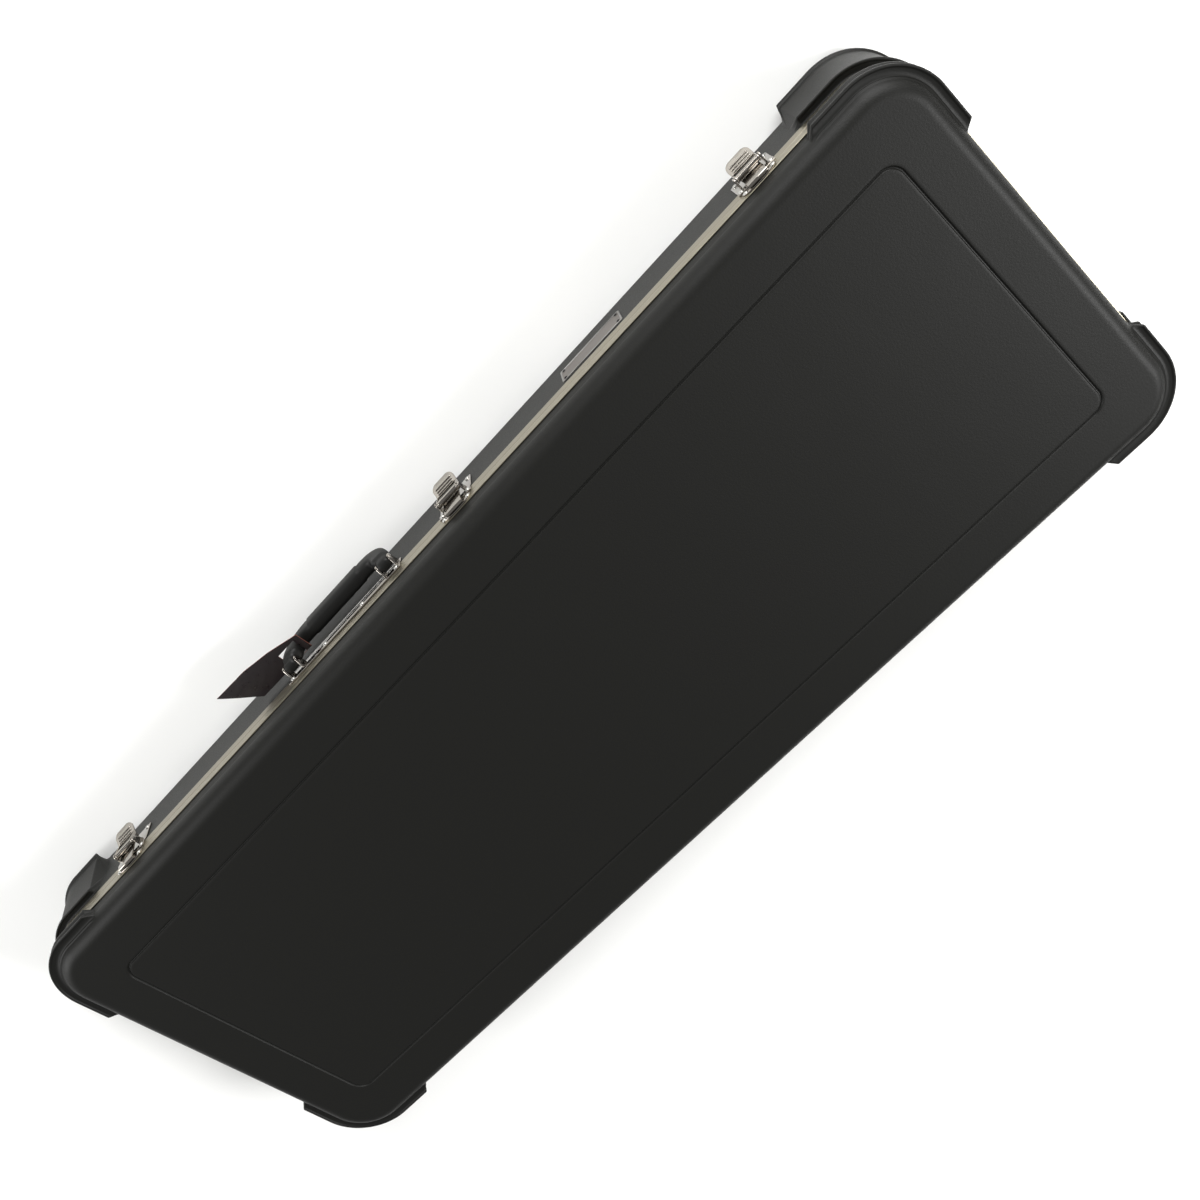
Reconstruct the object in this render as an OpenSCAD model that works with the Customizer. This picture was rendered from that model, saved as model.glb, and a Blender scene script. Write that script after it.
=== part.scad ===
// Hard guitar case lying on its back: two thermoformed shells joined by a
// two-part aluminium valance, three draw latches and a folding handle on the
// front, three butt hinges behind, and a plush-lined foam insert inside.
// Origin: centre of the flat back face. +X runs to the narrow (neck) end,
// the latches face -Y and the lid faces +Z. All sizes are in millimetres.

/* [Shells] */
// Length of the case outline at its rim
case_len = 1060; // [950:1:1280]
// Width of the outline at the wide (body) end
wide_w = 398; // [370:1:480]
// Width of the outline at the narrow (neck) end
narrow_w = 384; // [340:1:398]
// Height of the back shell, from the back face to the parting line
base_h = 77; // [70:1:100]
// Height of the lid, from the parting line to its face
lid_h = 31; // [29:1:45]
// Thickness of the plastic
wall_t = 3.5; // [2.5:0.1:4]
// Corner radius of the outline
corner_r = 46; // [40:1:60]
// Radius of the rounded edge around each shell's face
edge_r = 14; // [10:1:16]
// Draft of the back shell's side walls, in degrees
base_draft = 5; // [2:0.5:7]
// Draft of the lid's side walls, in degrees
lid_draft = 8; // [2:0.5:10]

/* [Face panel] */
// Distance from the outline to the middle of the panel groove
panel_inset = 54; // [40:1:70]
// Corner radius of the panel groove
panel_r = 14; // [8:1:30]
// Width of the groove
groove_w = 3; // [3:0.5:7]
// Depth of the groove
groove_d = 1.6; // [0.8:0.1:2]

/* [Corner bumpers] */
// Length of a bumper along each side, from the sharp corner
bumper_arm = 87; // [70:1:120]
// How far a bumper's lips stand proud of the wall
bumper_lip = 7.5; // [7:0.5:12]
// How far the hollow between the lips stands proud
bumper_web = 5.5; // [4:0.5:10]
// Height of each lip
lip_h = 3; // [2:0.5:4]
// Gap between a bumper and the valance
bumper_gap = 3; // [2:0.5:6]

/* [Valance] */
// Visible height of each half of the valance
band_h = 9; // [8:0.5:12]
// Thickness of the valance's flanges
flange_t = 1.2; // [1:0.1:1.6]
// Height of the solid web that bridges the shell's edge
web_t = 3.5; // [3:0.5:4]
// Depth of the tongue on the lid's half
tongue_d = 1.8; // [1:0.1:2]
// Width of the tongue
tongue_w = 1.6; // [1:0.1:2]
// Clearance around the tongue
tongue_gap = 0.4; // [0.3:0.05:0.6]
// Hairline gap between the two halves
parting_gap = 0.2; // [0.1:0.05:0.5]

/* [Latches] */
// Places of the three latches along the case
latch_x = [-400, -55, 389];
// Width of a latch's base plate
latch_w = 38; // [36:1:46]
// Height of the base plate
latch_h = 36; // [34:1:40]
// Distance of the lever's pivot out from the shell wall
lever_out = 9.3; // [8.5:0.1:11]
// Distance of the lever's pivot below the parting line
lever_drop = 11; // [10:0.5:13]
// How far the link's pivot lies inside the lever's pivot
link_in = 3.5; // [2.5:0.1:4]
// How far the link's pivot lies below the lever's pivot
link_drop = 7; // [6:0.5:8]
// Radius of the latch pins
latch_pin_r = 1.2; // [1:0.1:1.5]
// Length of the ribbed thumb plate
thumb_len = 18; // [14:1:22]

/* [Handle] */
// Place of the handle's middle along the case
handle_x = 88; // [60:1:140]
// Length of the handle's base rail
rail_len = 146; // [140:1:180]
// Distance between the two grip pivots
grip_span = 124; // [110:1:128]
// Distance from the pivots to the grip's outer edge
grip_drop = 34; // [30:1:38]
// Height of the bar that the hand holds
grip_bar = 16; // [12:1:20]
// Thickness of the grip
grip_t = 14; // [12:1:18]
// Radius of the handle pins
handle_pin_r = 2; // [1.5:0.1:2.5]

/* [Hinges] */
// Places of the three hinges along the case
hinge_x = [-380, 0, 380];
// Width of a hinge
hinge_w = 60; // [50:1:80]
// Radius of the hinge knuckles
knuckle_r = 3.2; // [3:0.1:3.5]
// Radius of the hinge pin
hinge_pin_r = 1.5; // [1.2:0.1:1.8]

/* [Plates and rivets] */
// Thickness of the metal plates riveted to the case
plate_t = 1.5; // [1.2:0.1:2]
// Shank radius of the rivets
shank_r = 1.5; // [1.2:0.1:1.8]
// Head radius of the rivets
head_r = 2.4; // [2.2:0.1:3]
// Head height of the rivets
head_h = 1.2; // [0.8:0.1:1.6]

/* [Nameplate] */
// Place of the nameplate's middle along the case
name_x = -220; // [-260:1:-160]
// Length of the nameplate
name_len = 69; // [50:1:90]
// Height of the nameplate
name_h = 27; // [20:1:30]
// Distance of the nameplate's middle below the parting line
name_drop = 30; // [28:1:34]
// Thickness of the nameplate
name_t = 1; // [0.8:0.1:1.5]

/* [Interior] */
// Height of the foam under the instrument
floor_t = 22; // [16:1:30]
// Thickness of the lid pad
pad_t = 22; // [12:1:22]
// Length of the bay for the instrument's body
bay_len = 420; // [380:1:440]
// Width of the bay for the body
bay_w = 338; // [320:1:345]
// Width of the channel for the neck
neck_w = 76; // [70:1:84]
// Length of the channel for the neck
neck_len = 370; // [340:1:380]
// Height of the foam under the neck
neck_floor = 40; // [34:1:46]
// Length of the bay for the headstock
head_len = 200; // [180:1:215]
// Width of the bay for the headstock
head_w = 150; // [120:1:170]
// Length of the accessory compartment
box_len = 220; // [180:1:250]
// Width of the accessory compartment
box_w = 105; // [90:1:108]
// Thickness of the accessory lid
box_lid_t = 4; // [3:0.5:5]
// Clearance between soft pieces and what holds them
soft_gap = 0.3; // [0.2:0.05:0.5]

/* [Swing tag] */
// Length of the card
tag_len = 74; // [60:1:90]
// Width of the card
tag_w = 40; // [34:1:50]
// Thickness of the card
tag_t = 0.8; // [0.5:0.1:1.2]

/* [Hidden] */

$fn = 48;
arc_steps = 12;             // facets in a quarter of each outline corner
edge_steps = 6;             // facets across a rounded edge
cut = 1;                    // overshoot of a cutting solid
pin_gap = 0.06;             // radial clearance of a pin that turns
side_gap = 0.5;             // sideways clearance between moving plates

side_slope = (wide_w - narrow_w) / 2 / case_len;
side_angle = atan(side_slope);
total_h = base_h + lid_h;

// Half of the outline's width at a place along the case
function half_w(x) = wide_w / 2 - side_slope * (x + case_len / 2);

// Outline corner moved inwards by d, counted round from the +X +Y corner
corner_sx = [1, -1, -1, 1];
corner_sy = [1, 1, -1, -1];
function corner_x(i, d) = corner_sx[i] * (case_len / 2 - d);
function corner_y(i, d) =
    corner_sy[i] * (half_w(corner_x(i, d)) - d * sqrt(1 + side_slope ^ 2));
function corner(i, d) = [corner_x(i, d), corner_y(i, d)];

// Place of the drafted back-shell wall, z below the parting line
function base_wall(z) = z < -band_h ? (z + band_h) * tan(base_draft) : 0;

// Case outline moved inwards by inset, with rounded corners of radius r
module outline(inset, r) {
    polygon([for (i = [0:3], k = [0:arc_steps])
        let (a = 90 * (i + k / arc_steps))
        corner(i, inset + r) + r * [cos(a), sin(a)]]);
}

// Upright ring that follows the outline between two insets
module band(inset_out, inset_in, z_low, z_high) {
    translate([0, 0, z_low]) linear_extrude(z_high - z_low) difference() {
        outline(inset_out, corner_r - inset_out);
        outline(inset_in, corner_r - inset_in);
    }
}

// Solid form of a shell moved inwards by inset: face at z = inset, rim up
module form(inset, h, draft, rim_z) {
    e = edge_r - inset;
    d = (h - band_h - edge_r) * tan(draft);
    mid = corner_r - d - edge_r;
    hull() for (i = [0:3]) translate(corner(i, corner_r)) rotate_extrude()
        polygon([[0, inset],
            for (k = [0:edge_steps]) let (a = 90 * k / edge_steps)
                [mid + e * sin(a), edge_r - e * cos(a)],
            [corner_r - inset, min(h - band_h, rim_z)],
            [corner_r - inset, rim_z], [0, rim_z]]);
}

// Zones of the four corners that the bumpers cover, with bevelled ends
module corner_zones() {
    far = 3 * bumper_lip;
    for (i = [0:3]) translate(corner(i, 0)) scale([-corner_sx[i], -corner_sy[i]])
        polygon([[-far, -far], [bumper_arm - bumper_lip, -far],
            [bumper_arm - bumper_lip, -bumper_lip], [bumper_arm, 0],
            [bumper_arm, bumper_arm], [0, bumper_arm],
            [-bumper_lip, bumper_arm - bumper_lip], [-far, bumper_arm - bumper_lip]]);
}

module bumper_layer(proud, inner, z_low, z_high) {
    translate([0, 0, z_low]) linear_extrude(z_high - z_low) intersection() {
        difference() {
            outline(-proud, corner_r + proud);
            outline(inner, corner_r - inner);
        }
        corner_zones();
    }
}

// Bumpers of one shell: a hollow band between two lips
module bumpers(h, draft, z_low) {
    inner = (h - band_h - edge_r) * tan(draft) + wall_t;
    z_high = h - band_h - bumper_gap;
    bumper_layer(bumper_web, inner, z_low, z_high);
    bumper_layer(bumper_lip, inner, z_low, z_low + lip_h);
    bumper_layer(bumper_lip, inner, z_high - lip_h, z_high);
}

// Shell with its face at z = 0 and its rim up
module shell(h, draft, bumper_z) {
    difference() {
        union() {
            form(0, h, draft, h - web_t);
            bumpers(h, draft, bumper_z);
        }
        form(wall_t, h, draft, h + cut);
        translate([0, 0, -cut]) linear_extrude(groove_d + cut) difference() {
            outline(panel_inset - groove_w / 2, panel_r + groove_w / 2);
            outline(panel_inset + groove_w / 2, panel_r - groove_w / 2);
        }
    }
}

// Frames on the side walls at the parting line: -y points out of the case
module on_front(x) {
    translate([x, -half_w(x), base_h]) rotate([0, 0, side_angle]) children();
}

module on_rear(x) {
    translate([x, half_w(x), base_h]) rotate([0, 0, 180 - side_angle]) children();
}

// Extrudes a shape drawn in (out, z) along the wall, centred
module along(w) {
    mirror([0, 1, 0]) rotate([90, 0, 90])
        translate([0, 0, -w / 2]) linear_extrude(w) children();
}

// Bar along the wall at (out, z)
module rod(r, w, out, z) {
    translate([-w / 2, -out, z]) rotate([0, 90, 0]) cylinder(r = r, h = w);
}

// Extrudes a shape drawn in (x, z) outwards from out_low to out_high
module outwards(out_low, out_high) {
    translate([0, -out_low, 0]) rotate([90, 0, 0])
        linear_extrude(out_high - out_low) children();
}

module rivet(depth, tail) {
    rotate([90, 0, 0]) {
        cylinder(r1 = head_r, r2 = head_r * 0.6, h = head_h);
        translate([0, 0, -depth]) cylinder(r = shank_r, h = depth);
        if (tail > 0)
            translate([0, 0, -depth - tail]) cylinder(r = head_r, h = tail);
    }
}

module rivet_hole() {
    rotate([90, 0, 0]) translate([0, 0, -12]) cylinder(r = shank_r, h = 14);
}

face_out = flange_t + plate_t;          // outer face of a plate on the valance
grip_depth = face_out + wall_t + flange_t;   // plate, flange, shell and flange
tail_h = 1;

// Rivet places [x, z] of each fitting, from its middle on the parting line
latch_top = [for (s = [-1, 1]) [s * (latch_w / 2 - 3.5), -4.8]];
latch_foot = [for (s = [-1, 1]) [s * (latch_w / 2 - 4), 3.5 - latch_h]];
keeper_ends = [for (s = [-1, 1]) [s * (latch_w / 2 - 5), 4.8]];
hinge_row = [for (s = [-1, 0, 1]) [s * (hinge_w / 2 - 8), 6.3]];
rail_row = [for (s = [-1, -0.36, 0.36, 1]) [s * (rail_len / 2 - 5), -5.2]];

// Puts a rivet or its hole at each place, with the head seated on the plate
module on_plate(places, side = 1) {
    for (p = places) translate([p[0], -face_out, side * p[1]]) children();
}

module at_latches(places) {
    for (x = latch_x) on_front(x) on_plate(places) children();
}

module at_hinges(side) {
    for (x = hinge_x) on_rear(x) on_plate(hinge_row, side) children();
}

module at_handle() {
    on_front(handle_x) on_plate(rail_row) children();
}

module on_name() {
    on_front(name_x) translate([0, -base_wall(-name_drop), -name_drop])
        rotate([base_draft, 0, 0]) children();
}

// Corners of the nameplate, for rivets of a smaller size
name_rivet = 0.6;
module at_name() {
    for (sx = [-1, 1], sz = [-1, 1]) on_name()
        translate([sx * (name_len / 2 - 4), -name_t, sz * (name_h / 2 - 4)])
            scale(name_rivet) children();
}

// ---- shells and valance ----

module bottom_shell() {
    color("#2b2b28") difference() {
        shell(base_h, base_draft, 10);
        at_latches(latch_top) rivet_hole();
        at_latches(latch_foot) rivet_hole();
        at_hinges(-1) rivet_hole();
        at_handle() rivet_hole();
        at_name() rivet_hole();
    }
}

module lid_shell() {
    color("#2b2b28") difference() {
        translate([0, 0, total_h]) mirror([0, 0, 1]) shell(lid_h, lid_draft, 8);
        at_latches(keeper_ends) rivet_hole();
        at_hinges(1) rivet_hole();
    }
}

groove_mid = wall_t / 2;
groove_half = tongue_w / 2 + tongue_gap;

module bottom_valance() {
    color("#b9b5a6") difference() {
        band(-flange_t, wall_t + flange_t, base_h - band_h, base_h);
        band(0, wall_t, base_h - band_h - cut, base_h - web_t);
        band(groove_mid - groove_half, groove_mid + groove_half,
            base_h - tongue_d - tongue_gap, base_h + cut);
        at_latches(latch_top) rivet_hole();
        at_hinges(-1) rivet_hole();
        at_handle() rivet_hole();
    }
}

module lid_valance() {
    color("#b9b5a6") difference() {
        union() {
            band(-flange_t, wall_t + flange_t, base_h + parting_gap, base_h + band_h);
            band(groove_mid - tongue_w / 2, groove_mid + tongue_w / 2,
                base_h - tongue_d, base_h + parting_gap + cut);
        }
        band(0, wall_t, base_h + web_t, base_h + band_h + cut);
        at_latches(keeper_ends) rivet_hole();
        at_hinges(1) rivet_hole();
    }
}

// ---- interior ----

insert_top = base_h - band_h - soft_gap;
bay_x = -case_len / 2 + wall_t + 22;            // wide end of the body bay
neck_x = bay_x + bay_len;                       // where the neck channel starts
head_x = neck_x + neck_len;                     // where the headstock bay starts
box_x = neck_x + 34;                            // compartment, behind the neck
box_y = neck_w / 2 + 18;
box_floor = floor_t - 8;
cradle_x = neck_x + neck_len * 0.72;
cradle_w = 50;

module bay(x, len, y, w, z) {
    translate([x, y - w / 2, z]) cube([len, w, base_h]);
}

module foam_insert() {
    color("#3d3a3c") difference() {
        form(wall_t + soft_gap, base_h, base_draft, insert_top);
        bay(bay_x, bay_len, 0, bay_w, floor_t);
        bay(neck_x - cut, neck_len + 2 * cut, 0, neck_w, neck_floor);
        bay(head_x, head_len, 0, head_w, floor_t);
        bay(box_x, box_len, box_y + box_w / 2, box_w, box_floor);
    }
}

module neck_cradle() {
    notch = neck_w - 20;
    color("#4a4648") difference() {
        translate([cradle_x, -neck_w / 2, neck_floor])
            cube([cradle_w, neck_w, insert_top - neck_floor - 2]);
        translate([cradle_x - cut, -notch / 2, neck_floor + 10])
            cube([cradle_w + 2 * cut, notch, base_h]);
    }
}

module lid_pad() {
    low = total_h - wall_t - pad_t;
    color("#3d3a3c") intersection() {
        translate([0, 0, total_h]) mirror([0, 0, 1])
            form(wall_t + soft_gap, lid_h, lid_draft, total_h - low);
        translate([0, 0, low]) linear_extrude(lid_h)
            outline(wall_t + flange_t + tail_h + soft_gap,
                corner_r - wall_t - flange_t - tail_h - soft_gap);
    }
}

box_lap = 8;
lid_x = box_x - box_lap;
lid_len = box_len + 2 * box_lap;
lid_y = box_y - box_lap;
lid_w = box_w + 2 * box_lap;
lid_z = insert_top + soft_gap;

// The lid turns about the middle of its rounded rear edge
module accessory_lid() {
    edge = box_lid_t / 2;
    color("#453f44") translate([lid_x, lid_y, lid_z]) {
        cube([lid_len, lid_w - edge, box_lid_t]);
        translate([0, lid_w - edge, edge]) rotate([0, 90, 0]) cylinder(r = edge, h = lid_len);
    }
}

module accessory_pull_tab() {
    tab_w = 20;
    tab_len = 10;
    color("#6b6468") translate([lid_x + (lid_len - tab_w) / 2, lid_y - tab_len, lid_z + 1])
        cube([tab_w, tab_len, 1.2]);
}

module accessory_hinge_tape() {
    color("#453f44") translate([lid_x + 6, lid_y + lid_w + soft_gap, insert_top])
        cube([lid_len - 12, 7, 0.8]);
}

// ---- latches ----

lever_at = [lever_out, -lever_drop];
link_at = lever_at - [link_in, link_drop];
link_half = 10;                              // half width of the link
flange_x = link_half + side_gap;             // inner face of the lever's flanges
cheek_x = flange_x + plate_t + side_gap;     // inner face of the base's cheeks
cheek_end = cheek_x + plate_t;
ledge_z = 5;
ledge_t = 1.5;
link_t = 1.5;
link_rest = 0.9;                             // slack of the hook on the ledge
ledge_out = link_at[0] - link_t / 2 - 0.45;

// Two matching plates, one on each side of the middle
module pair(x_low, t) {
    for (s = [-1, 1]) translate([s * (x_low + t / 2), 0, 0]) along(t) children();
}

// Plate that hugs the valance and the drafted wall under it
module hugging_plate(w, z_low, z_high) {
    along(w) polygon([[base_wall(z_low), z_low], [0, -band_h], [flange_t, -band_h],
        [flange_t, z_high], [face_out, z_high], [face_out, z_low]]);
}

module latch_base(i) {
    foot_r = 4;
    foot_x = latch_w / 2 - foot_r;
    color("#c9c9cb") on_front(latch_x[i]) difference() {
        union() {
            intersection() {
                hugging_plate(latch_w, -latch_h, -1.5);
                outwards(-6, 6) hull() for (s = [-1, 1]) {
                    translate([s * foot_x, -latch_h + foot_r]) circle(foot_r);
                    translate([s * (latch_w / 2 - 1), -2.5]) circle(1);
                }
            }
            pair(cheek_x, plate_t) hull() {
                translate(lever_at) circle(2.8);
                translate([face_out - 1, -lever_drop - 5]) square([1, 8]);
            }
        }
        rod(latch_pin_r, latch_w, lever_at[0], lever_at[1]);
        on_plate(latch_top) rivet_hole();
        on_plate(latch_foot) rivet_hole();
    }
}

thumb_top = link_at + [3.2, -5];
thumb_end = thumb_top + thumb_len * [0.62, -0.78];

module latch_lever(i) {
    thumb_t = 1.8;
    thumb_half = flange_x + plate_t;
    ribs = 4;
    color("#d4d4d6") on_front(latch_x[i]) difference() {
        union() {
            pair(flange_x, plate_t) hull() {
                translate(lever_at) circle(2.6);
                translate(link_at) circle(2.4);
                translate(thumb_top) circle(thumb_t / 2);
            }
            along(2 * thumb_half) hull() {
                translate(thumb_top) circle(thumb_t / 2);
                translate(thumb_end) circle(thumb_t / 2);
            }
            for (k = [1:ribs]) let (p = thumb_top + (thumb_end - thumb_top) * k / (ribs + 0.5))
                rod(0.9, 2 * thumb_half - 2, p[0] + 0.7, p[1] + 0.55);
        }
        rod(latch_pin_r + pin_gap, latch_w, lever_at[0], lever_at[1]);
        rod(latch_pin_r, latch_w, link_at[0], link_at[1]);
    }
}

module latch_link(i) {
    top = ledge_z + ledge_t + link_rest;
    color("#d4d4d6") on_front(latch_x[i]) difference() {
        union() {
            rod(2.4, 2 * link_half, link_at[0], link_at[1]);
            along(2 * link_half) translate([link_at[0] - link_t / 2, link_at[1]])
                square([link_t, top + link_t - link_at[1]]);
            along(2 * link_half - 2) translate([ledge_out - 1.4, top])
                square([link_at[0] - ledge_out + 1.4, link_t]);
        }
        rod(latch_pin_r + pin_gap, latch_w, link_at[0], link_at[1]);
    }
}

module latch_keeper(i) {
    keeper_w = latch_w - 4;
    color("#c9c9cb") on_front(latch_x[i]) difference() {
        union() {
            along(keeper_w) translate([flange_t, 1]) square([plate_t, band_h - 1]);
            along(2 * link_half - 2) translate([face_out, ledge_z])
                square([ledge_out - face_out, ledge_t]);
        }
        on_plate(keeper_ends) rivet_hole();
    }
}

module lever_pivots(i) {
    stub = cheek_end - flange_x;
    color("#8f8f92") on_front(latch_x[i]) for (s = [-1, 1])
        translate([s * (flange_x + stub / 2), 0, 0])
            rod(latch_pin_r, stub, lever_at[0], lever_at[1]);
}

module link_pin(i) {
    color("#8f8f92") on_front(latch_x[i])
        rod(latch_pin_r, 2 * (flange_x + plate_t), link_at[0], link_at[1]);
}

module latch_rivets() {
    color("#b0b0b2") {
        at_latches(latch_top) rivet(grip_depth, tail_h);
        at_latches(latch_foot) rivet(grip_depth, 0);
    }
}

module keeper_rivets() {
    color("#b0b0b2") at_latches(keeper_ends) rivet(grip_depth, tail_h);
}

// ---- hinges ----

hinge_out = flange_t + knuckle_r + 0.4;
knuckle_w = hinge_w / 3;

// Leaf with the knuckles whose middles are listed, and room for the others
module leaf(i, side, own, other) {
    color("#b9b9bb") on_rear(hinge_x[i]) difference() {
        union() {
            along(hinge_w) translate([flange_t, side < 0 ? -band_h : parting_gap])
                square([plate_t, band_h - parting_gap]);
            for (x = own) translate([x, 0, 0])
                rod(knuckle_r, knuckle_w - side_gap, hinge_out, 0);
            for (x = own) translate([x, 0, 0]) along(knuckle_w - side_gap)
                translate([flange_t, side < 0 ? -knuckle_r : 0])
                    square([hinge_out - flange_t - hinge_pin_r, knuckle_r]);
        }
        for (x = other) translate([x, 0, 0])
            rod(knuckle_r + side_gap, knuckle_w + side_gap, hinge_out, 0);
        rod(hinge_pin_r + (side > 0 ? pin_gap : 0), hinge_w + cut, hinge_out, 0);
        on_plate(hinge_row, side) rivet_hole();
    }
}

module hinge_base_leaf(i) {
    leaf(i, -1, [-knuckle_w, knuckle_w], [0]);
}

module hinge_lid_leaf(i) {
    leaf(i, 1, [0], [-knuckle_w, knuckle_w]);
}

module hinge_pin(i) {
    color("#8f8f92") on_rear(hinge_x[i]) rod(hinge_pin_r, hinge_w, hinge_out, 0);
}

module hinge_rivets(side) {
    color("#b0b0b2") at_hinges(side) rivet(grip_depth, tail_h);
}

// ---- handle ----

pivot_out = 9;
pivot_drop = 14;
lug_r = 4.6;
lug_w = 12.4;
ear_gap = 0.3;
ear_t = 2;
arm_w = 18;
grip_in = 3;                                  // gap between grip and shell
wide_z = -pivot_drop - 6;                     // where the arms widen
grip_end = -pivot_drop - grip_drop;

module at_pivots() {
    for (s = [-1, 1]) translate([s * grip_span / 2, 0, 0]) children();
}

module handle_rail() {
    color("#b4b4b6") on_front(handle_x) difference() {
        union() {
            hugging_plate(rail_len, -pivot_drop - 5, -1.5);
            at_pivots() pair(lug_w / 2 + ear_gap, ear_t) hull() {
                translate([pivot_out, -pivot_drop]) circle(lug_r - 0.4);
                translate([face_out - 1, -pivot_drop - 4]) square([1, 8]);
            }
        }
        rod(handle_pin_r, rail_len, pivot_out, -pivot_drop);
        on_plate(rail_row) rivet_hole();
    }
}

module grip_shape() {
    half = grip_span / 2 + lug_w / 2;
    round_r = min(15, (wide_z - grip_end) / 2);
    difference() {
        hull() for (s = [-1, 1]) {
            translate([s * (half - round_r), grip_end + round_r]) circle(round_r);
            translate([s * (half - 2), wide_z - 2]) circle(2);
        }
        hull() for (s = [-1, 1], z = [grip_end + grip_bar + 7, 0])
            translate([s * (half - arm_w - 7), z]) circle(7);
    }
}

core_half = [4, 1];
core_z = grip_end + grip_bar / 2;

module handle_grip() {
    color("#1b1b1b") on_front(handle_x) difference() {
        union() {
            outwards(grip_in, grip_in + grip_t) grip_shape();
            at_pivots() rod(lug_r, lug_w, pivot_out, -pivot_drop);
            at_pivots() translate([-lug_w / 2, -pivot_out - lug_r, wide_z - 3])
                cube([lug_w, 2 * lug_r, -pivot_drop - wide_z + 3]);
        }
        rod(handle_pin_r + pin_gap, rail_len, pivot_out, -pivot_drop);
        handle_core_form();
    }
}

module handle_core_form() {
    translate([-grip_span / 2 + 6, -grip_in - grip_t / 2 - core_half[1], core_z - core_half[0]])
        cube([grip_span - 12, 2 * core_half[1], 2 * core_half[0]]);
}

module handle_core() {
    color("#8a8a8c") on_front(handle_x) handle_core_form();
}

module handle_pins() {
    color("#8f8f92") on_front(handle_x) at_pivots()
        rod(handle_pin_r, lug_w + 2 * (ear_gap + ear_t), pivot_out, -pivot_drop);
}

module handle_rivets() {
    color("#b0b0b2") at_handle() rivet(grip_depth, tail_h);
}

// Blank card slipped over the grip's arm through a punched slot
module swing_tag() {
    arm_mid = grip_span / 2 + lug_w / 2 - arm_w / 2;
    slot = [arm_w + 2, grip_t + 2];
    tag_z = grip_end + grip_bar + 3.5;        // seated on the arm's fillet
    color("#1e1517") on_front(handle_x)
        translate([arm_mid, -grip_in - grip_t / 2, tag_z]) difference() {
            translate([-tag_w / 2 + 4, -tag_w / 2 - 1.5, 0]) cube([tag_len, tag_w - 11, tag_t]);
            translate([-slot[0] / 2, -slot[1] / 2, -cut]) cube([slot[0], slot[1], tag_t + 2 * cut]);
        }
}

// ---- nameplate ----

module nameplate() {
    color("#8d8f90") difference() {
        on_name() translate([-name_len / 2, -name_t, -name_h / 2])
            cube([name_len, name_t, name_h]);
        at_name() rivet_hole();
    }
}

module nameplate_rivets() {
    color("#b0b0b2") at_name() rivet(wall_t / name_rivet, 0);
}

bottom_shell();
lid_shell();
bottom_valance();
lid_valance();
foam_insert();
neck_cradle();
lid_pad();
accessory_lid();
accessory_pull_tab();
accessory_hinge_tape();
for (i = [0:2]) {
    latch_base(i);
    latch_lever(i);
    latch_link(i);
    latch_keeper(i);
    lever_pivots(i);
    link_pin(i);
    hinge_base_leaf(i);
    hinge_lid_leaf(i);
    hinge_pin(i);
}
latch_rivets();
keeper_rivets();
hinge_rivets(-1);  // hinge_base_rivets
hinge_rivets(1);  // hinge_lid_rivets
handle_rail();
handle_grip();
handle_core();
handle_pins();
handle_rivets();
swing_tag();
nameplate();
nameplate_rivets();
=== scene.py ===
import math

import bmesh
import bpy
from mathutils import Matrix, Quaternion, Vector
from mathutils.geometry import convex_hull_2d


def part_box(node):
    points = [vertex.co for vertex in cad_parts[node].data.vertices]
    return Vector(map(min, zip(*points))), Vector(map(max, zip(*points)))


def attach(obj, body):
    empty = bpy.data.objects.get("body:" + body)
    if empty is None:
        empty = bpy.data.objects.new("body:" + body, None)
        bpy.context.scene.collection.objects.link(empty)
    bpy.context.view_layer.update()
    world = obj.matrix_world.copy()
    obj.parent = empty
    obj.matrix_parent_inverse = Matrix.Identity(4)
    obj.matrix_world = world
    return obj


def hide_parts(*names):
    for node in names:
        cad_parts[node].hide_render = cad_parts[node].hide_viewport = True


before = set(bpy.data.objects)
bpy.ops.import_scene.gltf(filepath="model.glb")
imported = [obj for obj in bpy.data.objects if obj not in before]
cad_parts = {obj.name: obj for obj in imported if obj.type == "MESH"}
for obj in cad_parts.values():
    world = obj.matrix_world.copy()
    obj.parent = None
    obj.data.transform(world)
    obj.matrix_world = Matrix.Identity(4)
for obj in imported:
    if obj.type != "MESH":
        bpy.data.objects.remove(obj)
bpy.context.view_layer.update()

mm = 0.001

# ---- Studio ----
# The case lies on its back on a matt pale floor, in the even light of a pale room. Softboxes
# stand behind the wide end, before the latches and off the narrow end. The camera looks
# steeply down past the latches.


def linear(hex_colour):
    """sRGB hex to the linear RGBA that shaders take."""
    parts = [int(hex_colour[i:i + 2], 16) / 255 for i in (1, 3, 5)]
    return [c / 12.92 if c <= 0.04045 else ((c + 0.055) / 1.055) ** 2.4 for c in parts] + [1]


def add(tree, kind, inputs=(), to=None, **settings):
    """Adds a node with its settings; inputs maps sockets to values or to what is linked, and
    to is a socket that the node's first output feeds."""
    made = tree.nodes.new(kind)
    for name, value in settings.items():
        setattr(made, name, value)
    for name, value in dict(inputs).items():
        if isinstance(value, bpy.types.NodeSocket):
            tree.links.new(value, made.inputs[name])
        else:
            made.inputs[name].default_value = value
    if to is not None:
        tree.links.new(made.outputs[0], to)
    return made


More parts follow.
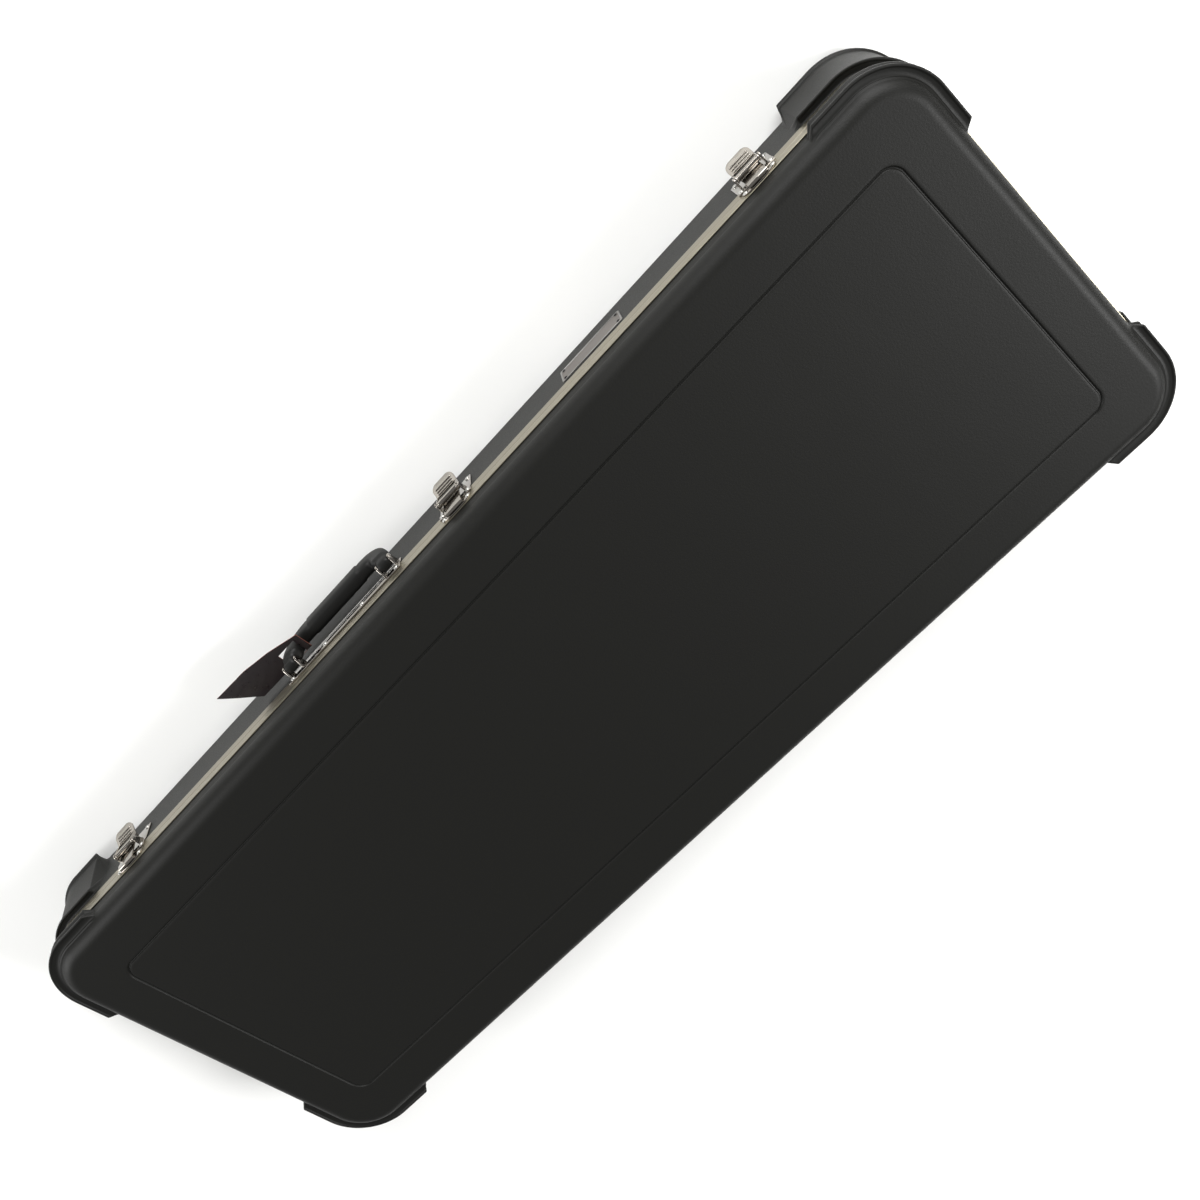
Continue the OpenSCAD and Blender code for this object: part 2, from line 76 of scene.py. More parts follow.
def finish(name, colour, roughness, metallic=0.0, **surface):
    """A material; returns it with its tree, its shader and the coordinates that its patterns
    read, which are the piece's own."""
    material = bpy.data.materials.new(name)
    material.use_nodes = True
    tree = material.node_tree
    tree.nodes.clear()
    values = {"Base Color": linear(colour), "Roughness": roughness, "Metallic": metallic}
    shader = add(tree, "ShaderNodeBsdfPrincipled", {**values, **surface})
    add(tree, "ShaderNodeOutputMaterial", {"Surface": shader.outputs["BSDF"]})
    return material, tree, shader, add(tree, "ShaderNodeTexCoord").outputs["Object"]


floor_half, floor_z = 7.0, -0.0003
floor_mesh = bpy.data.meshes.new("floor")
floor_mesh.from_pydata(
    [(x * floor_half, y * floor_half, floor_z) for x, y in ((-1, -1), (1, -1), (1, 1), (-1, 1))],
    [], [(0, 1, 2, 3)])
floor = bpy.data.objects.new("floor", floor_mesh)
bpy.context.collection.objects.link(floor)
# Matt painted board: even and pale, with the faint stipple that a roller leaves.
floor_paint, tree, shader, coords = finish("matt_floor_paint", "#f4f4f2", 0.9)
stipple = add(tree, "ShaderNodeTexNoise", {"Vector": coords, "Scale": 1 / (3 * mm), "Detail": 2})
add(tree, "ShaderNodeBump", {"Height": stipple.outputs["Fac"], "Strength": 0.3,
                             "Distance": 0.05 * mm}, shader.inputs["Normal"])
floor_mesh.materials.append(floor_paint)

world = bpy.data.worlds.new("pale_room")
bpy.context.scene.world = world
world.use_nodes = True
world.node_tree.nodes["Background"].inputs["Color"].default_value = linear("#ffffff")
world.node_tree.nodes["Background"].inputs["Strength"].default_value = 0.3


def softbox(name, place, aim, size, power):
    """A round area light of a width in metres and a power in watts, turned to its aim."""
    light = bpy.data.lights.new(name, "AREA")
    light.shape = "DISK"
    light.size = size
    light.energy = power
    lamp = bpy.data.objects.new(name, light)
    lamp.location = place
    lamp.rotation_euler = (Vector(aim) - Vector(place)).to_track_quat("-Z", "Y").to_euler()
    bpy.context.collection.objects.link(lamp)


softbox("key_softbox", (-2.1, 1.6, 2.5), (-0.3, 0, 0), 1.6, 120)
softbox("fill_softbox", (-1.7, -2.4, 1.3), (-0.1, -0.3, 0), 2.8, 150)
softbox("narrow_end_softbox", (2.8, -1.2, 1.5), (0.3, 0, 0), 1.8, 60)

camera_at = Vector((-348, -556.5, 1071.4)) * mm
camera_aim = Vector((-75.2, -60.5, 108)) * mm
camera_roll = math.radians(160.2)
camera = bpy.data.objects.new("camera", bpy.data.cameras.new("camera"))
camera.data.lens = 40.35
camera.data.sensor_width = 36
camera.location = camera_at
camera.rotation_mode = "QUATERNION"
level = (camera_aim - camera_at).to_track_quat("-Z", "Y")
camera.rotation_quaternion = level @ Quaternion((0, 0, 1), camera_roll)
bpy.context.collection.objects.link(camera)
bpy.context.scene.camera = camera
bpy.context.scene.view_settings.view_transform = "Standard"

# ---- Moulded shells ----
# Two shells of black ABS sheet, vacuum-formed over a pebble-grained tool. Each has a large
# rounded edge, a grooved panel in its face and hollow-ribbed bumpers moulded at its corners.
wide_w, narrow_w = 398, 384
flange_t = 1.2                                   # the valance stands this far proud
valance_low, valance_high = (Vector(c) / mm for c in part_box("bottom_valance"))
case_len = valance_high.x - valance_low.x - 2 * flange_t
base_h = valance_high.z
total_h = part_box("lid_shell")[1].z / mm
lid_h = total_h - base_h
band_h = 9                                       # height of each half of the valance
wall_t = 3.5
lid_draft, base_draft = 8, 5                     # degrees that the walls lean inwards
corner_r = 46
edge_r = 14
panel_inset, panel_r = 54, 14
bumper_proud, bumper_web, lip_h = 7.5, 5.5, 3
bumper_arm = 87                                  # from the sharp corner to a bumper's end
bumper_gap = 3                                   # between a bumper and the shell's rim
lid_bump_low, base_bump_low = 8, 10              # where it starts, over the shell's face
arc_steps = 24

slope = (wide_w - narrow_w) / 2 / case_len
taper = math.atan(slope)


def half_width(x):
    return wide_w / 2 - slope * (x + case_len / 2)


# outward normals of the narrow end, rear side, wide end and front side
normals = [Vector((1, 0)), Vector((math.sin(taper), math.cos(taper))),
           Vector((-1, 0)), Vector((math.sin(taper), -math.cos(taper)))]
side_reach = math.cos(taper) * half_width(0)
reaches = [case_len / 2, side_reach, case_len / 2, side_reach]


def sharp_corner(i, inset):
    """Where sides i and i + 1 meet, both moved inwards by inset."""
    a, b = normals[i], normals[(i + 1) % 4]
    p, q = reaches[i] - inset, reaches[(i + 1) % 4] - inset
    return Vector((p * b.y - q * a.y, q * a.x - p * b.x)) / (a.x * b.y - a.y * b.x)


def bumper_rise(distance):
    """0 on the plain wall, 1 on the bumper, with a bevelled end between them."""
    t = (bumper_arm - distance) / bumper_proud
    soft = 0.09
    if t <= -soft or t >= 1 + soft:
        return float(t > 0.5)
    if t < soft:
        return (t + soft) ** 2 / (4 * soft)
    if t > 1 - soft:
        return 1 - (1 + soft - t) ** 2 / (4 * soft)
    return t


def stations():
    """Places round the outline: (corner, share of its arc) or (side, distance), with the rise."""
    found = []
    bevel = [bumper_arm - bumper_proud * t for t in
             (1.12, 1.05, 1.0, 0.95, 0.88, 0.7, 0.5, 0.3, 0.12, 0.05, 0.0, -0.05, -0.12)]
    for i in range(4):
        found += [("arc", i, k / arc_steps, 1.0) for k in range(arc_steps + 1)]
        side = (i + 1) % 4
        length = (sharp_corner(side, 0) - sharp_corner(i, 0)).length
        inner = max(3, round((length - 2 * bumper_arm) / 70))
        gap = (length - 2 * bevel[-1]) / inner
        middle = [bevel[-1] + gap * k for k in range(1, inner)]
        for t in bevel + middle + [length - t for t in reversed(bevel)]:
            found.append(("side", i, t, bumper_rise(min(t, length - t))))
    return found


def at_station(station, inset, radius):
    """The point at a station of the outline moved inwards by inset, with corners of radius."""
    kind, i, t, _ = station
    if kind == "side":
        start, end = sharp_corner(i, 0), sharp_corner((i + 1) % 4, 0)
        return start + (end - start).normalized() * t - normals[(i + 1) % 4] * inset
    first = math.atan2(normals[i].y, normals[i].x)
    last = math.atan2(normals[(i + 1) % 4].y, normals[(i + 1) % 4].x)
    angle = first + ((last - first) % math.tau) * t
    centre = sharp_corner(i, inset + radius)
    return centre + radius * Vector((math.cos(angle), math.sin(angle)))


def loft(rings, closed=True):
    """A tube of quads through rings of as many points each, with its two ends capped."""
    mesh = bmesh.new()
    rows = [[mesh.verts.new(Vector(p) * mm) for p in ring] for ring in rings]
    for low, high in zip(rows, rows[1:]):
        for k in range(len(low)):
            n = (k + 1) % len(low)
            mesh.faces.new((low[k], low[n], high[n], high[k]))
    if closed:
        mesh.faces.new(reversed(rows[0]))
        mesh.faces.new(rows[-1])
    return mesh


def piece(name, mesh, material, crease=35):
    """Makes an object of a bmesh, with outward normals and smooth faces between creases."""
    bmesh.ops.remove_doubles(mesh, verts=mesh.verts, dist=1e-6)
    bmesh.ops.recalc_face_normals(mesh, faces=mesh.faces)
    data = bpy.data.meshes.new(name)
    mesh.to_mesh(data)
    mesh.free()
    data.polygons.foreach_set("use_smooth", [True] * len(data.polygons))
    data.set_sharp_from_angle(angle=math.radians(crease))
    data.materials.append(material)
    made = bpy.data.objects.new(name, data)
    bpy.context.collection.objects.link(made)
    return made


def rounded(points, radius, steps=3):
    """A polyline whose inner corners are rounded with arcs of about radius."""
    out = [Vector(points[0])]
    for a, b, c in zip(points, points[1:], points[2:]):
        a, b, c = Vector(a), Vector(b), Vector(c)
        reach = min(radius, (a - b).length * 0.45, (c - b).length * 0.45)
        p, q = b + (a - b).normalized() * reach, b + (c - b).normalized() * reach
        for k in range(steps + 1):
            t = k / steps
            out.append(p * (1 - t) ** 2 + b * 2 * t * (1 - t) + q * t ** 2)
    return out + [Vector(points[-1])]


def shell_mesh(h, draft, bump_low, to_z):
    """A shell of height h in (inset, height over its face); to_z turns that height into z."""
    rim = h - band_h
    lean = math.tan(math.radians(draft))
    foot = (rim - edge_r) * lean                 # inset where the rounded edge starts

    def wall(w):
        if w >= edge_r:
            return (rim - w) * lean
        return foot + edge_r - math.sqrt(edge_r ** 2 - (edge_r - w) ** 2)

    bump_high = rim - bumper_gap
    blend = 2.0                                  # fillet between a bumper and the wall
    web_low, web_high = bump_low + lip_h, bump_high - lip_h
    lip, web = -bumper_proud, -bumper_web
    # from the rim down: the dished upper shelf, lip, hollow web, lip and dished lower shelf
    bump = rounded([
        (wall(bump_high + blend), bump_high + blend), (wall(bump_high), bump_high - 0.8),
        (-1.2, bump_high - 1.4), (lip + 2.6, bump_high - 0.9), (lip + 1.8, bump_high),
        (lip, bump_high), (lip, web_high), (web, web_high - 1.2), (web, web_low + 1.2),
        (lip, web_low), (lip, bump_low), (lip + 1.8, bump_low), (lip + 2.8, bump_low + 1.0),
        (-1.2, bump_low + 1.7), (wall(bump_low) - 1.2, bump_low + 1.2),
        (wall(bump_low) - 0.9, bump_low - 0.1), (wall(bump_low) + 0.3, bump_low - 0.6),
        (wall(bump_low - blend), bump_low - blend)], 1.3)
    last = len(bump) - 1
    heights = [bump_high + blend + (bump_low - bump_high - 2 * blend) * k / last
               for k in range(last + 1)]
    plain = [Vector((wall(w), w)) for w in heights]

    top = math.asin((edge_r - heights[-1]) / edge_r)
    edge = [top + (math.pi / 2 - top) * k / 9 for k in range(1, 10)]
    crest = [(foot + edge_r * (1 - math.cos(a)), edge_r * (1 - math.sin(a))) for a in edge]
    groove = [(-3.6, 0), (-2.2, 0), (-1.5, 0.15), (-1.0, 0.7), (-0.6, 1.4), (0, 1.6), (0.6, 1.4),
              (1.0, 0.7), (1.5, 0.15), (2.2, 0), (3.6, 0)]
    crest_inset = crest[-1][0]

    inner_r = edge_r - wall_t
    inner = [(wall_t, rim + 3), (wall_t, rim), (wall_t + foot, edge_r)]
    inner += [(wall_t + foot + inner_r * (1 - math.cos(a)), edge_r - inner_r * math.sin(a))
              for a in (math.radians(15 * k) for k in range(1, 7))]

    places = stations()
    rings = []
    for d, w in reversed(inner):
        rings.append([(s, d, corner_r - d, w) for s in places])
    rings.append([(s, 0, corner_r, rim + 3) for s in places])
    rings.append([(s, 0, corner_r, rim) for s in places])
    for p, b in zip(plain, bump):
        row = []
        for s in places:
            d, w = p.lerp(b, s[3])
            row.append((s, d, corner_r - d, w))
        rings.append(row)
    for d, w in crest + [(crest_inset + 1.5, 0)]:
        rings.append([(s, d, corner_r - d, w) for s in places])
    for off, w in groove:
        rings.append([(s, panel_inset + off, panel_r - off, w) for s in places])
    return loft([[(*at_station(s, d, r), to_z(w)) for s, d, r, w in row] for row in rings])


# Black ABS with a moulded pebble grain about 1.5 mm across: satin, with a slow ripple left
# by the forming that bends the reflections of the room.
abs_plastic, tree, shader, coords = finish("abs_pebble_grain", "#121210", 0.5)
grain = add(tree, "ShaderNodeTexVoronoi", {"Vector": coords, "Scale": 1 / (1.5 * mm)},
            feature="SMOOTH_F1")
fine = add(tree, "ShaderNodeTexNoise", {"Vector": coords, "Scale": 1 / (0.6 * mm), "Detail": 2})
ripple = add(tree, "ShaderNodeTexNoise", {"Vector": coords, "Scale": 1 / (60 * mm), "Detail": 1})
add(tree, "ShaderNodeMapRange", {"Value": fine.outputs["Fac"], "From Min": 0.3, "From Max": 0.7,
                                 "To Min": 0.42, "To Max": 0.56}, shader.inputs["Roughness"])
waves = add(tree, "ShaderNodeBump", {"Height": ripple.outputs["Fac"], "Distance": 0.25 * mm})
add(tree, "ShaderNodeBump", {"Height": grain.outputs["Distance"], "Strength": 0.6,
                             "Distance": 0.09 * mm, "Normal": waves.outputs["Normal"]},
    shader.inputs["Normal"])
shader.inputs["Specular IOR Level"].default_value = 0.2

lid_outer = piece("lid_outer", shell_mesh(lid_h, lid_draft, lid_bump_low,
                                          lambda w: total_h - w), abs_plastic)
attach(lid_outer, "case_lid")
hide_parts("lid_shell")
base_outer = piece("base_outer", shell_mesh(base_h, base_draft, base_bump_low,
                                            lambda w: w), abs_plastic)
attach(base_outer, "case_base")
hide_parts("bottom_shell")

# ---- Valance ----
# Two anodised aluminium extrusions bent round the rims, one carrying a tongue and the other
# its groove. Each has a flange outside and one inside that grip the edge of the shell.
parting_gap, web_t = 0.2, 3.5
tongue_w, tongue_d, tongue_gap = 1.6, 1.8, 0.4


def group(name, inputs):
    """A geometry node tree with the named inputs; returns the tree and its input node."""
    tree = bpy.data.node_groups.new(name, "GeometryNodeTree")
    tree.is_modifier = True
    for label, kind in inputs.items():
        tree.interface.new_socket(label, in_out="INPUT", socket_type="NodeSocket" + kind)
    tree.interface.new_socket("Result", in_out="OUTPUT", socket_type="NodeSocketGeometry")
    return tree, tree.nodes.new("NodeGroupInput")


def complete(tree, given, geometry):
    """Ends a tree with real geometry in the material given."""
    real = add(tree, "GeometryNodeRealizeInstances", {"Geometry": geometry})
    dressed = add(tree, "GeometryNodeSetMaterial", {"Geometry": real.outputs["Geometry"],
                                                    "Material": given.outputs["Material"]})
    add(tree, "NodeGroupOutput", {"Result": dressed.outputs["Geometry"]})


def grown(name, points, edges, tree, values, crease=35, arrows=None):
    """What a tree makes of points, each with its outward arrow, as a mesh of its own."""
    seed = bpy.data.meshes.new(name + "_seed")
    seed.from_pydata([Vector(p) * mm for p in points], edges, [])
    if arrows:
        data = seed.attributes.new("outwards", "FLOAT_VECTOR", "POINT").data
        data.foreach_set("vector", [c for arrow in arrows for c in arrow])
    holder = bpy.data.objects.new(name + "_seed", seed)
    bpy.context.collection.objects.link(holder)
    modifier = holder.modifiers.new("build", "NODES")
    modifier.node_group = tree
    for label, value in values.items():
        modifier[tree.interface.items_tree[label].identifier] = value
    depsgraph = bpy.context.evaluated_depsgraph_get()
    data = bpy.data.meshes.new_from_object(holder.evaluated_get(depsgraph))
    data.name = name
    data.polygons.foreach_set("use_smooth", [True] * len(data.polygons))
    data.set_sharp_from_angle(angle=math.radians(crease))
    bpy.data.objects.remove(holder)
    made = bpy.data.objects.new(name, data)
    bpy.context.collection.objects.link(made)
    return made


swept, given = group("swept_section", {"Path": "Geometry", "Section": "Object",
                                       "Material": "Material"})
path = add(swept, "GeometryNodeMeshToCurve", {"Mesh": given.outputs["Path"]})
level_path = add(swept, "GeometryNodeSetCurveNormal", {"Curve": path.outputs["Curve"]},
                 mode="Z_UP")
section = add(swept, "GeometryNodeObjectInfo", {"Object": given.outputs["Section"]})
section_curve = add(swept, "GeometryNodeMeshToCurve", {"Mesh": section.outputs["Geometry"]})
sweep = add(swept, "GeometryNodeCurveToMesh",
            {"Curve": level_path.outputs["Curve"],
             "Profile Curve": section_curve.outputs["Curve"]})
complete(swept, given, sweep.outputs["Mesh"])


def valance(name, side, mating):
    """Half of the valance: side is 1 over the parting line and -1 under it."""
    low, high = parting_gap if side > 0 else 0, band_h
    out, back = flange_t, -(wall_t + flange_t)
    points = rounded([(out - 0.6, low), (out, low), (out, low + 2)], 0.45)
    points += rounded([(out, high - 2), (out, high), (0.15, high), (0.15, high - 1)], 0.6)
    points += [Vector(p) for p in ((0, web_t), (-wall_t, web_t), (-wall_t, high))]
    points += rounded([(-wall_t, high - 0.2), (-wall_t, high), (back, high), (back, high - 1)],
                      0.4)
    points += [Vector(p) for p in ((back, low), *mating)]
    if side > 0:                                 # mirrored, so walked the other way round
        points.reverse()
    outline = bpy.data.meshes.new(name + "_section")
    count = len(points)
    outline.from_pydata([(p[0] * mm, -p[1] * side * mm, 0) for p in points],
                        [(k, (k + 1) % count) for k in range(count)], [])
    holder = bpy.data.objects.new(name + "_section", outline)
    bpy.context.collection.objects.link(holder)
    ring = []
    for s in stations():
        p = at_station(s, 0, corner_r)
        if not ring or (p - ring[-1].xy).length > 0.05:
            ring.append(Vector((p.x, p.y, base_h)))
    edges = [(k, (k + 1) % len(ring)) for k in range(len(ring))]
    made = grown(name, ring, edges, swept, {"Section": holder, "Material": anodised}, 25)
    bpy.data.objects.remove(holder)
    return made


# Satin anodised aluminium, a warm grey: fine lines along the strip left by the die stretch
# its highlights crossways.
anodised, tree, shader, coords = finish("anodised_aluminium", "#969080", 0.3, 1.0)
squeezed = add(tree, "ShaderNodeMapping", {"Vector": coords, "Scale": (8, 8, 1 / (0.35 * mm))})
lines = add(tree, "ShaderNodeTexNoise", {"Vector": squeezed.outputs["Vector"], "Scale": 1,
                                         "Detail": 3})
add(tree, "ShaderNodeMapRange", {"Value": lines.outputs["Fac"], "From Min": 0.3, "From Max": 0.7,
                                 "To Min": 0.26, "To Max": 0.42}, shader.inputs["Roughness"])
add(tree, "ShaderNodeBump", {"Height": lines.outputs["Fac"], "Strength": 0.35,
                             "Distance": 0.04 * mm}, shader.inputs["Normal"])

middle = -wall_t / 2
half_tongue, half_channel = tongue_w / 2, tongue_w / 2 + tongue_gap
tongue = [(middle - half_tongue, parting_gap), (middle - half_tongue, -tongue_d),
          (middle + half_tongue, -tongue_d), (middle + half_tongue, parting_gap)]
channel = [(middle - half_channel, 0), (middle - half_channel, tongue_d + tongue_gap),
           (middle + half_channel, tongue_d + tongue_gap), (middle + half_channel, 0)]
for name, side, mating, body, node in (
        ("lid_strip", 1, tongue, "case_lid", "lid_valance"),
        ("base_strip", -1, channel, "case_base", "bottom_valance")):
    strip = valance(name, side, mating)
    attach(strip, body)
    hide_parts(node)

# ---- Rivets ----
# Domed steel rivets set from outside, zinc-plated, and small ones for the nameplate, painted
# nearly black as painted shade. The heads stand square on the plates that they hold.


def wall_frame(x, side):
    """Frame on the side wall at the parting line: x along it, y into the case, z up."""
    along = Vector((math.cos(taper), math.sin(taper), 0)) if side < 0 else \
        Vector((-math.cos(taper), math.sin(taper), 0))
    inward = Vector((-along.y, along.x, 0))
    frame_matrix = Matrix((along, inward, (0, 0, 1))).transposed().to_4x4()
    frame_matrix.translation = Vector((x, side * half_width(x), base_h)) * mm
    return frame_matrix


def base_wall(z):
    """How far the drafted base wall stands out at z under the parting line."""
    return min(0.0, (z + band_h) * math.tan(math.radians(base_draft)))


riveted, given = group("riveted", {"Places": "Geometry", "Radius": "Float",
                                   "Height": "Float", "Material": "Material"})
ball = add(riveted, "GeometryNodeMeshUVSphere", {"Segments": 24, "Rings": 10, "Radius": 1.0})
head = add(riveted, "ShaderNodeCombineXYZ", {"X": given.outputs["Radius"],
                                             "Y": given.outputs["Radius"],
                                             "Z": given.outputs["Height"]})
arrow = add(riveted, "GeometryNodeInputNamedAttribute", {"Name": "outwards"},
            data_type="FLOAT_VECTOR")
turn = add(riveted, "FunctionNodeAlignRotationToVector", {"Vector": arrow.outputs["Attribute"]},
           axis="Z")
heads = add(riveted, "GeometryNodeInstanceOnPoints",
            {"Points": given.outputs["Places"], "Instance": ball.outputs["Mesh"],
             "Rotation": turn.outputs["Rotation"], "Scale": head.outputs["Vector"]})
complete(riveted, given, heads.outputs["Instances"])

# Bright zinc plate on steel, slightly cloudy.
zinc_plate, tree, shader, coords = finish("zinc_plated_steel", "#b9b8b4", 0.24, 1.0)
cloud = add(tree, "ShaderNodeTexNoise", {"Vector": coords, "Scale": 1 / (4 * mm), "Detail": 3})
add(tree, "ShaderNodeMapRange", {"Value": cloud.outputs["Fac"], "From Min": 0.3, "From Max": 0.7,
                                 "To Min": 0.18, "To Max": 0.34}, shader.inputs["Roughness"])

# Nameplate rivets: dull steel painted nearly black, as painted shade where they sit in shadow.
painted_shade_steel, tree, shader, coords = finish("painted_shade_rivet_steel", "#1c1a19", 0.45, 0.6)
bloom = add(tree, "ShaderNodeTexNoise", {"Vector": coords, "Scale": 1 / (1 * mm), "Detail": 2})
add(tree, "ShaderNodeMapRange", {"Value": bloom.outputs["Fac"], "From Min": 0.3, "From Max": 0.7,
                                 "To Min": 0.4, "To Max": 0.55}, shader.inputs["Roughness"])

latch_x, latch_w, latch_h = [-400, -55, 389], 38, 36
hinge_x, hinge_w = [-380, 0, 380], 60
handle_x, rail_len = 88, 146
name_x, name_drop = -220, 30
plate_t = 1.5
face_out = flange_t + plate_t                    # outer face of a plate on the valance
foot_z = 3.5 - latch_h                           # the rivets at a latch plate's foot
head_r, head_rise = 2.4, 1.25
small_head_r, small_head_rise = 1.5, 0.6         # on the nameplate


def rivet_set(x, side, places, tilt=0.0):
    """Places and outward arrows of rivets at (along, out, z) on a wall."""
    matrix = wall_frame(x, side)
    arrow = matrix.to_3x3() @ Vector((0, -math.cos(tilt), -math.sin(tilt)))
    spots = [matrix @ (Vector((u, -out, z)) * mm) / mm for u, out, z in places]
    return spots, [arrow] * len(spots)


draft = math.radians(base_draft)
row = [(s * (rail_len / 2 - 5), face_out, -5.2) for s in (-1, -0.36, 0.36, 1)]
sets = {
    "latch_rivets": [rivet_set(x, -1, [(s * (latch_w / 2 - 3.5), face_out, -4.8)
                                       for s in (-1, 1)]) for x in latch_x]
    + [rivet_set(x, -1, [(s * (latch_w / 2 - 4), base_wall(foot_z) + plate_t, foot_z)
                         for s in (-1, 1)], draft) for x in latch_x],
    "keeper_rivets": [rivet_set(x, -1, [(s * (latch_w / 2 - 5), face_out, 4.8)
                                        for s in (-1, 1)]) for x in latch_x],
    "hinge_base_rivets": [rivet_set(x, 1, [(s * (hinge_w / 2 - 8), face_out, -6.3)
                                           for s in (-1, 0, 1)]) for x in hinge_x],
    "hinge_lid_rivets": [rivet_set(x, 1, [(s * (hinge_w / 2 - 8), face_out, 6.3)
                                          for s in (-1, 0, 1)]) for x in hinge_x],
    "handle_rivets": [rivet_set(handle_x, -1, row)],
    "nameplate_rivets": [rivet_set(name_x, -1, [
        (u, base_wall(-name_drop + v) + 1.05, -name_drop + v)
        for u in (-30.5, 30.5) for v in (-9.5, 9.5)], draft)]}
for name, found in sets.items():
    spots = [p for places, _ in found for p in places]
    arrows = [a for _, directions in found for a in directions]
    # the nameplate's rivets take the nearly black steel, which is painted shade
    small = name == "nameplate_rivets"
    made = grown(name + "_heads", spots, [], riveted,
                 {"Radius": (small_head_r if small else head_r) * mm,
                  "Height": (small_head_rise if small else head_rise) * mm,
                  "Material": painted_shade_steel if small else zinc_plate}, arrows=arrows)
    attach(made, "case_lid" if name in ("keeper_rivets", "hinge_lid_rivets") else "case_base")
    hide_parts(name)

# ---- Draw latches ----
# Three nickel-plated draw latches of pressed steel. A lever swings between two cheeks on the
# base plate and pulls a hooked link down over the keeper riveted to the lid.


def extruded(outline, low, high, plane):
    """A prism. plane "wall": outline in (along, z), from out low to high; plane "side":
    outline in (out, z), from along low to high."""
    mesh = bmesh.new()
    rows = []
    for depth in (low, high):
        rows.append([mesh.verts.new(Vector((p[0], -depth, p[1]) if plane == "wall"
                                           else (depth, -p[0], p[1])) * mm) for p in outline])
    count = len(outline)
    mesh.faces.new(rows[0])
    mesh.faces.new(list(reversed(rows[1])))
    for k in range(count):
        n = (k + 1) % count
        mesh.faces.new((rows[0][k], rows[1][k], rows[1][n], rows[0][n]))
    bmesh.ops.recalc_face_normals(mesh, faces=mesh.faces)
    return mesh


def softened(mesh, width, segments=3, angle=28):
    """Rounds a mesh's sharp edges."""
    edges = [e for e in mesh.edges
             if len(e.link_faces) == 2 and e.calc_face_angle(0) > math.radians(angle)]
    bmesh.ops.bevel(mesh, geom=edges, offset=width * mm, segments=segments, profile=0.5,
                    affect="EDGES", clamp_overlap=True)
    return mesh


def disc(centre, radius, steps=24):
    """The outline of a round bar seen end on."""
    return [(centre[0] + radius * math.cos(math.tau * k / steps),
             centre[1] + radius * math.sin(math.tau * k / steps)) for k in range(steps)]


def wrapped(circles):
    """The outline round a few discs, as a belt would run."""
    dots = [Vector(p) for centre, radius in circles for p in disc(centre, radius)]
    return [dots[k] for k in convex_hull_2d(dots)]


def joggled(low, joggle_z, top=-1.5, step_h=3.2):
    """Side section of a plate that lies on the valance and steps down onto the wall."""
    drop = joggle_z - step_h
    outer = [(face_out, top), (face_out, joggle_z + 1.0), (base_wall(drop) + plate_t, drop),
             (base_wall(low) + plate_t, low)]
    inner = [(flange_t, top), (flange_t, joggle_z + 0.4), (base_wall(drop), drop - 0.6),
             (base_wall(low), low)]
    return rounded(outer, 1.6) + list(reversed(rounded(inner, 1.2)))


def merge(mesh, part):
    """Adds another mesh to a mesh."""
    spare = bpy.data.meshes.new("spare")
    part.to_mesh(spare)
    part.free()
    mesh.from_mesh(spare)
    bpy.data.meshes.remove(spare)
    return mesh


def dress(name, material, edge=0.25):
    """Shows a CAD node as it is, in a real material and with its edges broken."""
    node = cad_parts[name]
    node.data.materials.clear()
    node.data.materials.append(material)
    weld = node.modifiers.new("weld", "WELD")
    weld.merge_threshold = 1e-6
    bevel = node.modifiers.new("edges", "BEVEL")
    bevel.width = edge * mm
    bevel.segments = 2
    bevel.limit_method = "ANGLE"
    bevel.angle_limit = math.radians(30)


# Nickel plate over pressed steel: bright, with the faint unevenness of thin plate.
nickel, tree, shader, coords = finish("nickel_plate", "#9c9790", 0.12, 1.0)
haze = add(tree, "ShaderNodeTexNoise", {"Vector": coords, "Scale": 1 / (9 * mm), "Detail": 4})
add(tree, "ShaderNodeMapRange", {"Value": haze.outputs["Fac"], "From Min": 0.3, "From Max": 0.7,
                                 "To Min": 0.07, "To Max": 0.2}, shader.inputs["Roughness"])
add(tree, "ShaderNodeBump", {"Height": haze.outputs["Fac"], "Strength": 0.4,
                             "Distance": 0.08 * mm}, shader.inputs["Normal"])

ribbed, given = group("ribbed", {"Places": "Geometry", "Length": "Float", "Radius": "Float",
                                 "Material": "Material"})
half = add(ribbed, "ShaderNodeMath", {0: given.outputs["Length"], 1: 0.5}, operation="MULTIPLY")
less = add(ribbed, "ShaderNodeMath", {0: half.outputs["Value"], 1: -1.0}, operation="MULTIPLY")
first = add(ribbed, "ShaderNodeCombineXYZ", {"X": less.outputs["Value"]})
last = add(ribbed, "ShaderNodeCombineXYZ", {"X": half.outputs["Value"]})
spine = add(ribbed, "GeometryNodeCurvePrimitiveLine", {"Start": first.outputs["Vector"],
                                                       "End": last.outputs["Vector"]})
ring = add(ribbed, "GeometryNodeCurvePrimitiveCircle", {"Resolution": 16,
                                                        "Radius": given.outputs["Radius"]})
tube = add(ribbed, "GeometryNodeCurveToMesh", {"Curve": spine.outputs["Curve"],
                                               "Profile Curve": ring.outputs["Curve"],
                                               "Fill Caps": True})
knob = add(ribbed, "GeometryNodeMeshUVSphere", {"Segments": 16, "Rings": 8,
                                                "Radius": given.outputs["Radius"]})
knobs = add(ribbed, "GeometryNodeInstanceOnPoints", {"Points": spine.outputs["Curve"],
                                                     "Instance": knob.outputs["Mesh"],
                                                     "Scale": (1.04, 1.04, 1.04)})
bar = add(ribbed, "GeometryNodeJoinGeometry")
ribbed.links.new(tube.outputs["Mesh"], bar.inputs["Geometry"])
ribbed.links.new(knobs.outputs["Instances"], bar.inputs["Geometry"])
rib_arrow = add(ribbed, "GeometryNodeInputNamedAttribute", {"Name": "outwards"},
                data_type="FLOAT_VECTOR")
